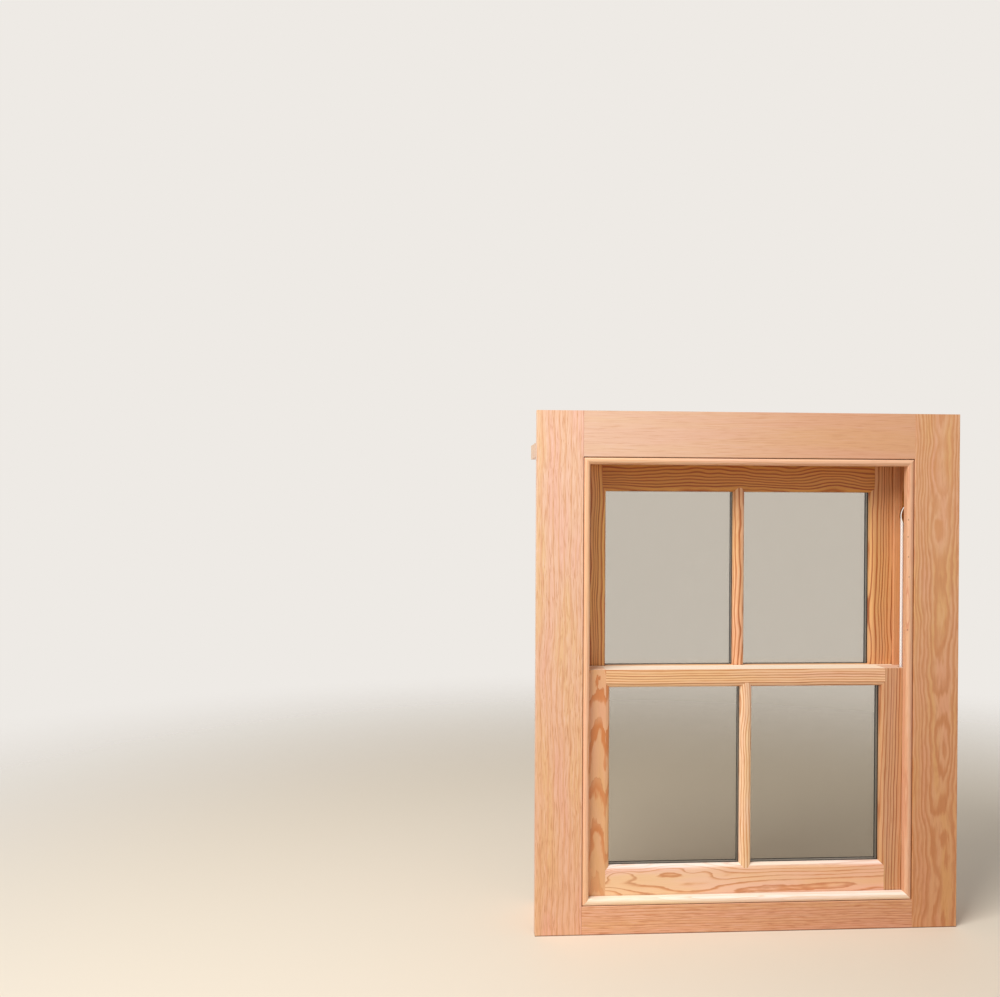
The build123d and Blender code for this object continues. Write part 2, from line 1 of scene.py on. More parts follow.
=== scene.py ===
"""Finishes a small double-hung sash window: timber with its growth rings, sealed glass, braided cords,
brass pulleys and iron weights, on a plain pale floor in soft light.

Lengths are metres, or millimetres where the grain and other patterns are drawn and where a name says so.
X runs right as seen from the room, the room face looks towards -Y and Z is up.
"""
from dataclasses import dataclass
import math
import bmesh
import bpy
from mathutils import Matrix, Vector


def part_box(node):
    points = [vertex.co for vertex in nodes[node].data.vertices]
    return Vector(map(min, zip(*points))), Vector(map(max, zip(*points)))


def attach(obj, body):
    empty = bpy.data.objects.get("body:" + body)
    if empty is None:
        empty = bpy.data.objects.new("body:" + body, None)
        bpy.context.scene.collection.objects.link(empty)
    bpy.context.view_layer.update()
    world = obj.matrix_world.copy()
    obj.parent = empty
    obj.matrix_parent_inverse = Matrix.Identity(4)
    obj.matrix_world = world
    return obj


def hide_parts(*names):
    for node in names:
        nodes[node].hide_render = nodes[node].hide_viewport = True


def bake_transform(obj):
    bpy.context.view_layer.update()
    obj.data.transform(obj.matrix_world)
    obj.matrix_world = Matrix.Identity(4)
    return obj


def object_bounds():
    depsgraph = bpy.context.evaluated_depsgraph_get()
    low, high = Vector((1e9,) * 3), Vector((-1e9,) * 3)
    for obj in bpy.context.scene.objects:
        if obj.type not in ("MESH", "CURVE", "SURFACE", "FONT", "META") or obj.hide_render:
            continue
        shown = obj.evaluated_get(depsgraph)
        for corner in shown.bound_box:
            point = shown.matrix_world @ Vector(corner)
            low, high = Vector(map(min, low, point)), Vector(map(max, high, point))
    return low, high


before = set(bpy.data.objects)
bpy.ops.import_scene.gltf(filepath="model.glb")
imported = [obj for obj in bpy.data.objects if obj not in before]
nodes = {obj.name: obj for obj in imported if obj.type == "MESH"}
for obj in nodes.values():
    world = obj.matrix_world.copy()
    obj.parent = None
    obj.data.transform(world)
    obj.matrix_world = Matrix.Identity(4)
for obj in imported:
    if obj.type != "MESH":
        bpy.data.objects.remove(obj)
solid_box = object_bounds()

mm = 1000.0
sashes = ("lower", "upper")
sides = (("left", -1.0), ("right", 1.0))

# The picture's frame and the camera that took it
image_width = 1000
image_height = 997
focal_pixels = 1000.0
principal_row = 524.06
sensor_width_mm = 36.0
camera_place = Vector((-0.62084, -2.02515, 0.82407))
camera_yaw = math.radians(3.678)
camera_pitch = math.radians(-0.539)
camera_roll = math.radians(0.226)

# Floor, backdrop and light
floor_reach = 30.0
floor_colour = (236, 225, 208)
floor_fade_start = 1.0
floor_fade_end = 3.2
backdrop_colour = (238, 234, 229)
sky_tint = (1.0, 0.985, 0.965, 1.0)
sky_strength = 0.38
lamp_place = Vector((-1.7, -1.6, 3.0))
lamp_size = 1.6
lamp_power = 102.0
lamp_tint = (1.0, 0.985, 0.96)

# The cords run in two tracks, over wheels that stand in the boxes
wheel_x_mm = 351.5
wheel_level_mm = 825.0
pitch_radius_mm = 25.0
track_mm = {"lower": -46.25, "upper": 8.25}
sash_fixing = {"lower": 0.338, "upper": 0.7577}
cord_in_weight = 0.025
cord_radius = 0.003
cord_facets = 20
bend_steps = 14
run_steps = 150
braid_pitch_mm = 7.0
braid_crossings = 4.0
yarns_a_strand = 5.0

# Screws and nails
screw_sizes = {"Head Diameter": 0.007, "Shank Diameter": 0.0034, "Length": 0.018, "Slot Width": 0.001,
               "Slot Depth": 0.0009}
screw_head_facets = 32
screw_shank_facets = 24
screw_twist_seed = 7
faceplate_screw_inset = 0.009
pocket_screw_place = (0.333, -0.04425, 0.124)
nail_radius = 0.0015
nail_facets = 16
nail_rings = ((-0.008, 0.80), (-0.0075, 1.0), (0.0055, 1.0), (0.008, 0.12))  # place along, share of radius

# Glass units, in millimetres
spacer_seal_mm = 2.4
seal_blur_mm = 0.15
pin_hole_pitch_mm = 4.0
pin_hole_radius_mm = (0.25, 0.45)

# How a softwood's tones depart from its ground: the orange of late wood, the brown line that ends a ring,
# the yellow and the pink that come and go across a board, its pale fibres, and a painted highlight on its
# upward faces
late_ratio = (0.86, 0.62, 0.36)
line_ratio = (0.56, 0.31, 0.16)
yellow_ratio = (0.985, 1.0, 0.80)
pink_ratio = (1.0, 0.93, 1.0)
pale_ratio = (1.06, 1.16, 1.34)
painted_highlight_ratio = (1.06, 1.185, 1.33)

# Figure that all the boards share, in changes a millimetre along and across the grain: small waves in the
# rings, patches of stronger late wood, fibres and zones. The rings' bends change more quickly across the
# grain than along it, and the rings' widths change slowly from one to the next.
sway_across = 1.6
wave_along = 0.025
wave_across = 0.16
patch_along = 0.012
fibre_along = 0.02
fibre_across = 1.3
zone_across = 0.035
ring_pace = 0.31
seed_shift_mm = 137.0

# Where each tone comes in: in a noise from 0 to 1, and, for the painted highlight, in how far a face looks
# upwards
patch_span = (0.35, 0.6)
dark_stroke_span = (0.50, 0.72)
pale_stroke_span = (0.26, 0.48)
yellow_span = (0.32, 0.52)
pink_span = (0.50, 0.68)
upward_span = (0.1, 0.8)

# Small dark flecks on the right staff bead: places on its face, reach and length to width
fleck_places_mm = ((321.0, 817.0), (320.6, 783.0), (321.4, 743.0), (322.4, 703.0), (320.6, 597.0))
fleck_reach_mm = (0.3, 1.2)
fleck_stretch = 2.5


def srgb(red, green, blue, alpha=1.0):
    """A colour written as screen values from 0 to 255, as the linear values that shaders take."""
    def linear(value):
        share = value / 255
        return share / 12.92 if share <= 0.04045 else ((share + 0.055) / 1.055) ** 2.4
    return (linear(red), linear(green), linear(blue), alpha)


class Value:
    """One output of a node, with arithmetic that adds Math nodes."""

    def __init__(self, graph, socket):
        self.graph = graph
        self.socket = socket

    def __add__(self, other):
        return self.graph.maths("ADD", self, other)

    def __radd__(self, other):
        return self.graph.maths("ADD", other, self)

    def __sub__(self, other):
        return self.graph.maths("SUBTRACT", self, other)

    def __rsub__(self, other):
        return self.graph.maths("SUBTRACT", other, self)

    def __mul__(self, other):
        return self.graph.maths("MULTIPLY", self, other)

    def __rmul__(self, other):
        return self.graph.maths("MULTIPLY", other, self)


class Graph:
    """A node tree under construction."""

    def __init__(self, tree):
        self.nodes = tree.nodes
        self.links = tree.links
        self.nodes.clear()

    def make(self, kind, settings=None, inputs=None, out=0):
        """Add a node: its settings first, then the values or links of its sockets. Returns one output."""
        node = self.nodes.new("ShaderNode" + kind)
        for key, value in (settings or {}).items():
            setattr(node, key, value)
        for key, value in (inputs or {}).items():
            if isinstance(value, Value):
                self.links.new(value.socket, node.inputs[key])
            else:
                node.inputs[key].default_value = value
        return Value(self, node.outputs[out])

    def maths(self, operation, *values):
        return self.make("Math", {"operation": operation}, dict(enumerate(values)))

    def mix(self, share, first, second):
        """A colour between two colours."""
        return self.make("Mix", {"data_type": "RGBA"}, {0: share, 6: first, 7: second}, out=2)

    def scaled(self, colour, amount):
        """A colour made lighter or darker."""
        return self.make("VectorMath", {"operation": "SCALE"}, {0: colour, "Scale": amount})

    def tinted(self, share, colour, ratio):
        """A colour multiplied part by part."""
        return self.make("Mix", {"data_type": "RGBA", "blend_type": "MULTIPLY", "clamp_result": True},
                         {0: share, 6: colour, 7: tuple(ratio) + (1.0,)}, out=2)

    def step(self, value, low, high):
        """A smooth rise from 0 at low to 1 at high."""
        return self.make("MapRange", {"interpolation_type": "SMOOTHSTEP"},
                         {"Value": value, "From Min": low, "From Max": high})

    def fade(self, value, low, high):
        """A smooth fall from 1 at low to 0 at high."""
        return 1.0 - self.step(value, low, high)

    def distance(self, across, up):
        """How far a point is from the middle, from its two offsets."""
        return self.maths("SQRT", across * across + up * up)

    def vector(self, x, y, z):
        return self.make("CombineXYZ", inputs={0: x, 1: y, 2: z})

    def place(self):
        """The three object coordinates, in metres."""
        point = self.make("TexCoord", out="Object")
        return [self.make("SeparateXYZ", inputs={0: point}, out=axis) for axis in range(3)]

    def place_mm(self):
        """The same in millimetres."""
        return [axis * mm for axis in self.place()]

    def noise(self, vector, scale=1.0, detail=2.0, roughness=0.5):
        return self.make("TexNoise", {"noise_dimensions": "3D"},
                         {"Vector": vector, "Scale": scale, "Detail": detail, "Roughness": roughness})

    def end_in(self, kind, inputs, output="OutputMaterial"):
        """End the tree in a shader of this kind."""
        shader = self.make(kind, inputs=inputs)
        node = self.nodes.new("ShaderNode" + output)
        self.links.new(shader.socket, node.inputs["Surface"])


def new_finish(name):
    """A new material and its empty graph."""
    material = bpy.data.materials.new(name)
    material.use_nodes = True
    return material, Graph(material.node_tree)


def dress(name, material):
    """Give a solid of the part its finish."""
    mesh = nodes[name].data
    mesh.materials.clear()
    mesh.materials.append(material)


def new_object(name, data):
    """A new object at the origin, in the scene."""
    thing = bpy.data.objects.new(name, data)
    bpy.context.scene.collection.objects.link(thing)
    return thing


# Timber. Every board is cut from a log of its own: its growth rings are cylinders about a pith that lies
# beside or behind the board, with slow bends, and the face, edges and ends all cut through the same rings.
@dataclass
class Board:
    """How one board lies in its log, in millimetres, and how strong its tones are."""
    grain: str                   # the axis that the grain follows
    screen_ground: tuple         # the colour of its early wood, in screen values
    pith: tuple                  # where the pith lies: across the board, and in depth
    ring: float                  # the width of a ring
    lean: tuple = (0.0, 0.0)     # how far the pith goes each way in a millimetre of grain
    bend: float = 8.0            # how far the rings bend, and over what length
    bend_length: float = 200.0
    late: float = 0.4            # shares of a ring: late wood, the turn to it, and the edge that ends it
    rise: float = None
    edge: float = 0.08
    strength: float = 0.5        # how far late wood and line depart from the ground
    line: float = 1.0            # how much the line shows
    stroke: float = 0.3          # how much the short strokes show, and their size
    stroke_length: float = 30.0
    stroke_width: float = 2.0
    zones: float = 0.6           # how much the yellow and pink zones show
    jog: float = 0.15            # the height of the small waves, in rings
    phase: float = 0.0           # how far the rings are moved outwards, in rings
    uneven: float = 1.8          # how much the rings differ in width
    domes: tuple = ()            # bulges: place along and across, length, width, and rings added
    painted_falloff: tuple = None          # painted shade: a darker tone that comes in along the board as the light falls off: from, to, and its ratio
    coat: float = 0.4            # how much it gleams
    painted_highlight: tuple = (0.3, 0.9)    # upward faces: how much painted highlight they get, and how pale it is

    def __post_init__(self):
        self.ground = srgb(*self.screen_ground)
        if self.rise is None:
            self.rise = self.late - self.edge

    def tone(self, ratio, strength):
        """The board's ground moved towards another tone."""
        return tuple(min(part * share ** strength, 1.0) for part, share in zip(self.ground, ratio)) + (1.0,)


def count_rings(g, board, along, across, depth, shift):
    """How many rings from the pith a point lies, and its two offsets from the pith."""
    slow = 1.0 / board.bend_length
    quick = sway_across * slow
    bend_across = g.noise(g.vector(along * slow + shift, across * quick, depth * quick), roughness=0.4)
    bend_depth = g.noise(g.vector(across * quick, along * slow + shift, depth * quick + 31.0),
                         roughness=0.4)
    u = across - board.pith[0] + along * board.lean[0] + (bend_across - 0.5) * (2.0 * board.bend)
    v = depth - board.pith[1] + along * board.lean[1] + (bend_depth - 0.5) * (2.0 * board.bend)
    count = g.distance(u, v) * (1.0 / board.ring)
    uneven = g.noise(g.vector(count * ring_pace, shift, 0.0), detail=1.0) * board.uneven
    count = count + uneven + board.phase
    for dome_along, dome_across, length, width, rings in board.domes:
        off_along = (along - dome_along) * (1.0 / length)
        off_across = (across - dome_across) * (1.0 / width)
        bulge = g.maths("EXPONENT", (off_along * off_along + off_across * off_across) * -1.0)
        count = count + bulge * rings
    wave = g.noise(g.vector(along * wave_along + shift, across * wave_across, depth * wave_across),
                   roughness=0.6)
    return count + (wave - 0.5) * board.jog, u, v


def timber(name, board, seed, marks=None):
    """Softwood with growth rings, sanded and left in the wood.

    marks is a function of the graph and the place in millimetres. It gives a share and a colour laid on top.
    """
    material, g = new_finish(name)
    place = g.place_mm()
    x, depth, z = place
    along, across = (x, z) if board.grain == "X" else (z, x)
    shift = seed_shift_mm * seed
    count, u, v = count_rings(g, board, along, across, depth, shift)
    year = g.maths("FLOOR", count)
    share = count - year
    vigour = g.make("TexWhiteNoise", {"noise_dimensions": "1D"}, {"W": year + shift})

    # Pale early wood turns slowly to orange late wood, which ends in a brown line. Outside its patches the
    # late wood keeps a third of its strength, and a weak year keeps two fifths of its line.
    fall = g.fade(share, 1.0 - board.edge, 1.0)
    patch = g.noise(g.vector(along * patch_along + shift, count * 0.6, 7.0), detail=1.0)
    band = g.step(share, 1.0 - board.late, 1.0 - board.late + board.rise) * fall
    band = band * (0.35 + 0.65 * g.step(patch, *patch_span))
    line = g.step(share, 1.0 - 3.0 * board.edge, 1.0 - board.edge) * fall * (0.4 + 0.6 * vigour)

    # Strokes, fibres and tinted zones follow the rings along the grain
    narrow = 1.0 / board.stroke_width
    stroke = g.noise(g.vector(along * (1.0 / board.stroke_length) + shift, u * narrow, v * narrow),
                     roughness=0.55)
    dark_stroke = g.step(stroke, *dark_stroke_span)
    pale_stroke = g.fade(stroke, *pale_stroke_span)
    fibre = g.noise(g.vector(along * fibre_along, across * fibre_across, depth * fibre_across + shift),
                    detail=3.0, roughness=0.6)
    zone = g.noise(g.vector(along * (0.5 / board.bend_length) + shift, u * zone_across, v * zone_across),
                   detail=1.0)

    colour = g.mix(g.step(zone, *yellow_span) * board.zones, board.tone(yellow_ratio, 1.0), board.ground)
    colour = g.mix(g.step(zone, *pink_span) * board.zones, colour, board.tone(pink_ratio, 1.0))
    colour = g.mix(pale_stroke * board.stroke, colour, board.tone(pale_ratio, 0.9))
    colour = g.mix(band, colour, board.tone(late_ratio, board.strength))
    colour = g.mix(line * board.line, colour, board.tone(line_ratio, board.strength))
    colour = g.mix(dark_stroke * board.stroke, colour, board.tone(line_ratio, 0.55))
    colour = g.scaled(colour, 1.0 + (fibre - 0.5) * 0.16)
    # Painted shade: the tone darkens along the board, standing in for the light falling off across the
    # window
    if board.painted_falloff:
        near, far, ratio = board.painted_falloff
        colour = g.tinted(g.step(along, near, far), colour, ratio)

    # Painted highlight: upward faces are painted paler, and they are also duller
    normal = g.make("NewGeometry", out="True Normal")
    upward = g.step(g.make("SeparateXYZ", inputs={0: normal}, out=2), *upward_span)
    highlight_share, highlight_paleness = board.painted_highlight
    colour = g.tinted(upward, colour, [part ** highlight_paleness for part in painted_highlight_ratio])
    colour = g.mix(upward * highlight_share, colour, board.tone(painted_highlight_ratio, highlight_paleness))
    if marks:
        cover, mark = marks(g, place)
        colour = g.mix(cover, colour, mark)
    relief = band * 0.4 + fibre * 0.5 + dark_stroke * (0.3 * board.stroke)
    g.end_in("BsdfPrincipled", {
        "Base Color": colour,
        "Roughness": 0.42 - band * 0.06 + (fibre - 0.5) * 0.12 + upward * 0.4,
        "Normal": g.make("Bump", inputs={"Strength": 0.3, "Distance": 0.0003, "Height": relief}),
        "Specular IOR Level": 0.5,
        "Coat Weight": (1.0 - upward) * board.coat,
        "Coat Roughness": 0.2})
    return material


def boards():
    """The boards of the window: which way each runs, its tone and how it was cut."""
    plain = dict(late=0.45, strength=0.35, stroke=0.30)
    hidden = dict(late=0.45, strength=0.6, stroke=0.25)
    back = dict(bend=12.0, bend_length=170.0, late=0.5, strength=0.6, stroke=0.2)
    return {
        "inner_lining_left": Board(
            "Z", (243, 198, 169), (-640.0, 90.0), 9.0, bend=6.0, bend_length=110.0, late=0.5, strength=0.34,
            line=0.6, stroke=0.85, stroke_length=38.0, stroke_width=1.5, zones=0.9,
            painted_falloff=(1000.0, 0.0, (0.95, 0.84, 0.74))),
        "inner_lining_head": Board(
            "X", (238, 197, 176), (1400.0, 160.0), 2.2, bend=3.0, late=0.6, strength=0.22, stroke=0.42,
            stroke_length=45.0, stroke_width=1.6, zones=0.35, painted_falloff=(-360.0, 300.0, (0.91, 0.74, 0.60))),
        "inner_lining_right": Board(
            "Z", (231, 176, 132), (392.0, -46.0), 5.8, lean=(0.004, 0.02), bend=11.0, bend_length=105.0,
            late=0.85, edge=0.30, strength=0.48, line=0.75, stroke=0.35, stroke_length=36.0,
            stroke_width=4.0, zones=1.0, jog=0.7, uneven=1.0, painted_falloff=(950.0, 0.0, (0.84, 0.73, 0.62)),
            domes=((440.0, 391.0, 42.0, 22.0, 1.4), (345.0, 400.0, 36.0, 16.0, -1.2),
                   (235.0, 391.0, 40.0, 14.0, 1.0), (60.0, 384.0, 80.0, 18.0, 1.6))),
        "sill": Board(
            "X", (238, 180, 145), (330.0, 120.0), 4.2, bend=3.0, late=0.45, strength=0.7, stroke=1.0,
            stroke_length=34.0, stroke_width=1.5, painted_falloff=(-330.0, 330.0, (0.85, 0.78, 0.74))),
        "lower_bottom_rail": Board(
            "X", (250, 206, 178), (76.0, -54.25), 6.0, lean=(-0.03, 0.0), bend=1.5, bend_length=120.0,
            late=0.5, edge=0.12, strength=0.9, line=0.7, stroke=0.10, stroke_length=40.0, zones=0.8,
            jog=0.5, phase=0.37, uneven=0.0, painted_highlight=(0.55, 1.9), painted_falloff=(-200.0, 280.0, (0.97, 0.85, 0.82)),
            domes=((-290.0, 74.0, 45.0, 20.0, -1.8), (-190.0, 118.0, 60.0, 22.0, -2.8),
                   (-110.0, 120.0, 70.0, 24.0, -3.3), (-110.0, 84.0, 70.0, 18.0, 1.6),
                   (-45.0, 104.0, 22.0, 7.0, 0.7), (-110.0, 115.0, 20.0, 6.0, 1.2),
                   (-262.0, 112.0, 40.0, 16.0, -4.0), (-20.0, 118.0, 50.0, 18.0, -0.4),
                   (60.0, 112.0, 70.0, 18.0, -0.6), (270.0, 76.0, 45.0, 16.0, 0.7))),
        "lower_stile_left": Board(
            "Z", (234, 178, 138), (-300.0, -30.0), 5.0, lean=(0.0, -0.055), bend=5.0, bend_length=70.0,
            late=0.46, rise=0.14, edge=0.03, strength=1.4, line=0.2, stroke=0.12, stroke_length=40.0,
            zones=0.5, jog=0.5, painted_highlight=(0.55, 2.4)),
        "lower_stile_right": Board(
            "Z", (214, 160, 120), (640.0, -20.0), 6.4, lean=(-0.02, 0.0), bend=6.0, bend_length=170.0,
            late=0.55, edge=0.16, strength=1.2, stroke=0.5, stroke_length=50.0, painted_highlight=(0.55, 2.8)),
        "lower_meeting_rail": Board(
            "X", (246, 198, 160), (760.0, 60.0), 4.6, bend=4.0, late=0.55, edge=0.14, strength=1.4,
            stroke=0.35, stroke_length=50.0, painted_highlight=(0.55, 2.6)),
        # Its ground is darker and more saturated than the other boards', partly the timber's own tone and
        # partly painted shade of the recess under the head
        "upper_top_rail": Board(
            "X", (218, 150, 78), (962.0, 30.0), 5.4, lean=(0.0, 0.008), bend=12.0, bend_length=110.0,
            late=0.7, edge=0.22, strength=1.35, stroke=0.2, stroke_length=60.0, zones=0.2, coat=0.0),
        # Its strong dark late wood is partly the timber's own and partly painted shade from the lining
        # beside it
        "upper_stile_left": Board(
            "Z", (246, 186, 118), (-560.0, 60.0), 5.6, bend_length=130.0, late=0.65, edge=0.24,
            strength=1.5, stroke=0.25, stroke_length=50.0, coat=0.1),
        "upper_stile_right": Board(
            "Z", (228, 172, 124), (-160.0, -20.0), 6.6, bend=9.0, bend_length=130.0, late=0.5, edge=0.20,
            strength=1.4, stroke=0.25, stroke_length=50.0, coat=0.1),
        "upper_meeting_rail": Board("X", (226, 168, 122), (640.0, 260.0), 4.0, **hidden),
        "lower_glazing_bar": Board(
            "Z", (255, 214, 184), (-40.0, -60.0), 6.0, bend=9.0, bend_length=110.0, late=0.6, edge=0.2,
            strength=1.2, stroke=0.35),
        "upper_glazing_bar": Board(
            "Z", (246, 194, 152), (-30.0, 20.0), 6.5, bend=9.0, bend_length=110.0, late=0.65, edge=0.22,
            strength=1.2, stroke=0.45, coat=0.1),
        "lower_glazing_beads": Board("Z", (232, 176, 134), (-900.0, 300.0), 3.4, **plain),
        "upper_glazing_beads": Board("Z", (232, 176, 134), (-860.0, 340.0), 3.4, **plain),
        "staff_bead_left": Board("Z", (250, 198, 160), (-480.0, 40.0), 4.0, stroke_length=40.0, **plain),
        "staff_bead_right": Board(
            "Z", (232, 178, 150), (500.0, 60.0), 4.4, stroke_length=26.0, zones=0.3, **plain),
        "staff_bead_top": Board("X", (242, 192, 156), (1180.0, 20.0), 3.6, stroke_length=50.0, **plain),
        # Its very pale ground is partly the timber's own tone and partly a painted highlight
        "staff_bead_bottom": Board("X", (255, 228, 206), (-140.0, 30.0), 4.0, stroke_length=50.0, **plain),
        "parting_bead_left": Board("Z", (226, 168, 122), (-560.0, 90.0), 3.2, **plain),
        "parting_bead_right": Board("Z", (226, 168, 122), (560.0, 90.0), 3.2, **plain),
        "parting_bead_head": Board("X", (226, 168, 122), (1250.0, 90.0), 3.2, **plain),
        "head": Board("X", (238, 190, 150), (1080.0, 220.0), 5.0, bend=9.0, **hidden),
        "pulley_stile_left": Board("Z", (230, 172, 126), (-280.0, 240.0), 5.0, **hidden),
        # Its dark ground is partly a different board and partly painted shade in the recess beside the sash
        "pulley_stile_right": Board("Z", (190, 130, 86), (290.0, 260.0), 5.0, **hidden),
        "outer_lining_left": Board(
            "Z", (236, 184, 140), (-380.0, 120.0), 9.0, lean=(0.0, 0.03), bend=12.0, bend_length=170.0,
            late=0.6, edge=0.2, stroke=0.2),
        "outer_lining_right": Board("Z", (240, 188, 146), (560.0, 160.0), 5.0, bend=6.0, **hidden),
        "outer_lining_head": Board("X", (240, 190, 148), (1050.0, 130.0), 6.0, bend=10.0, **hidden),
        "back_lining_left": Board("Z", (234, 182, 138), (-340.0, -20.0), 8.0, lean=(0.03, 0.0), **back),
        "back_lining_right": Board("Z", (234, 182, 138), (340.0, -20.0), 8.0, lean=(-0.03, 0.0), **back),
        "parting_slip_left": Board("Z", (240, 190, 148), (-900.0, 60.0), 4.0, **plain),
        "parting_slip_right": Board("Z", (240, 190, 148), (900.0, 60.0), 4.0, **plain),
    }


def painted_quirk_shade(g, place):
    """Painted shade in the gap between a staff bead and the lining beside it, on the bead's outer
    millimetre.
    """
    x, _, z = place
    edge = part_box("staff_bead_right")[1][0] * mm
    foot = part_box("staff_bead_bottom")[0][2] * mm
    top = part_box("staff_bead_top")[1][2] * mm
    reach = g.maths("MINIMUM", edge - g.maths("ABSOLUTE", x), g.maths("MINIMUM", top - z, z - foot))
    return g.fade(reach, 0.5, 1.6) * 0.85, srgb(92, 48, 22)


def painted_foot_shade(g, place):
    """Painted shade where a board stands on the floor: a dark line in its lowest millimetre or two."""
    return g.fade(place[2], 0.8, 2.4) * 0.8, srgb(96, 56, 30)


def quirk_shade_and_flecks(g, place):
    """The quirk's painted shade, and a few small dark flecks on the right bead."""
    x, _, z = place
    shade_and_flecks, brown = painted_quirk_shade(g, place)
    for centre_x, centre_z in fleck_places_mm:
        off = g.distance(x - centre_x, (z - centre_z) * (1.0 / fleck_stretch))
        shade_and_flecks = g.maths("MAXIMUM", shade_and_flecks, g.fade(off, *fleck_reach_mm) * 0.6)
    return shade_and_flecks, brown


def tape_marks(name):
    """The black glazing tape between a bead and the glass, seen through the pane."""
    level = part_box(name)[0][1] * mm
    return lambda g, place: (g.fade(place[1] - level, 0.4, 0.8), srgb(16, 14, 12))


def dress_timber():
    """Dress every board, and the pocket pieces from the boards that they were cut out of."""
    for count, (name, board) in enumerate(boards().items()):
        marks = None
        if name == "staff_bead_right":
            marks = quirk_shade_and_flecks
        elif name.startswith("staff_bead"):
            marks = painted_quirk_shade
        elif name in ("sill", "inner_lining_left", "inner_lining_right"):
            marks = painted_foot_shade
        elif name.endswith("glazing_beads"):
            marks = tape_marks(name)
        material = timber("fir_" + name, board, 1.0 + 0.37 * count, marks)
        dress(name, material)
        if name.startswith("pulley_stile"):
            dress(name.replace("pulley_stile", "pocket_piece"), material)


# Glass and metal
def clear_glass():
    """Sealed window glass: a faint grey-brown tint on each face, which together are darker than real glass,
    part tint and part painted shade of what lies behind the pane, and mirror gloss by angle.
    """
    material, g = new_finish("window_glass")
    tint_and_shade = g.make("BsdfTransparent", inputs={"Color": (0.885, 0.87, 0.845, 1.0)})
    gloss = g.make("BsdfGlossy", inputs={"Color": (1.0, 1.0, 1.0, 1.0), "Roughness": 0.01})
    entering = 1.0 - g.make("NewGeometry", out="Backfacing")
    edge_on = g.make("Fresnel", inputs={"IOR": 1.5})
    g.end_in("MixShader", {0: edge_on * entering, 1: tint_and_shade, 2: gloss})
    return material


def spacer_metal(node):
    """A grey metal spacer with a row of pin holes, between black seals against the two panes."""
    material, g = new_finish("spacer_metal_" + node)
    x, y, z = g.place_mm()
    low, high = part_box(node)
    front, back = low[1] * mm, high[1] * mm
    depth = g.maths("MINIMUM", y - front, back - y)
    seal = g.fade(depth, spacer_seal_mm - seal_blur_mm, spacer_seal_mm + seal_blur_mm)
    middle = y - (front + back) / 2
    holes = 0.0
    for run in (x, z):
        pitch = g.maths("FRACT", run * (1.0 / pin_hole_pitch_mm) + 0.5) - 0.5
        off = g.distance(pitch * pin_hole_pitch_mm, middle)
        holes = g.maths("MAXIMUM", holes, g.fade(off, *pin_hole_radius_mm))
    speck = g.noise(g.vector(x, y, z), scale=0.9)
    colour = g.mix(g.step(speck, 0.3, 0.7), srgb(142, 138, 132), srgb(166, 162, 155))
    colour = g.mix(g.maths("MAXIMUM", seal, holes), colour, srgb(14, 13, 12))
    g.end_in("BsdfPrincipled", {
        "Base Color": colour, "Metallic": (1.0 - seal) * 0.5, "Roughness": 0.4 + seal * 0.2})
    return material


def brass():
    """Satin brass, a little clouded, with fine scratches."""
    material, g = new_finish("satin_brass")
    place = g.vector(*g.place())
    cloud = g.noise(place, scale=90.0, detail=4.0)
    colour = g.mix(g.step(cloud, 0.35, 0.7), srgb(206, 168, 96), srgb(180, 138, 72))
    scratch = g.noise(place, scale=2400.0, detail=1.0)
    bump = g.make("Bump", inputs={"Strength": 0.1, "Distance": 0.0001, "Height": scratch})
    g.end_in("BsdfPrincipled", {
        "Base Color": colour, "Metallic": 1.0, "Roughness": 0.26 + cloud * 0.18, "Normal": bump})
    return material


def steel():
    """Bare steel, faintly clouded."""
    material, g = new_finish("plain_steel")
    cloud = g.noise(g.vector(*g.place()), scale=300.0, detail=3.0)
    colour = g.mix(cloud, srgb(150, 150, 150), srgb(184, 183, 180))
    g.end_in("BsdfPrincipled", {"Base Color": colour, "Metallic": 1.0, "Roughness": 0.3 + cloud * 0.2})
    return material


def cast_iron():
    """Dark gritty iron, as it came from the mould."""
    material, g = new_finish("cast_iron")
    place = g.vector(*g.place())
    grit = g.noise(place, scale=620.0, detail=4.0, roughness=0.65)
    cloud = g.noise(place, scale=28.0, detail=3.0)
    colour = g.mix(g.step(cloud, 0.35, 0.7), srgb(52, 52, 55), srgb(78, 74, 70))
    bump = g.make("Bump", inputs={"Strength": 0.6, "Distance": 0.0006, "Height": grit})
    g.end_in("BsdfPrincipled", {
        "Base Color": colour, "Metallic": 0.4, "Roughness": 0.6 + grit * 0.2, "Normal": bump})
    return material


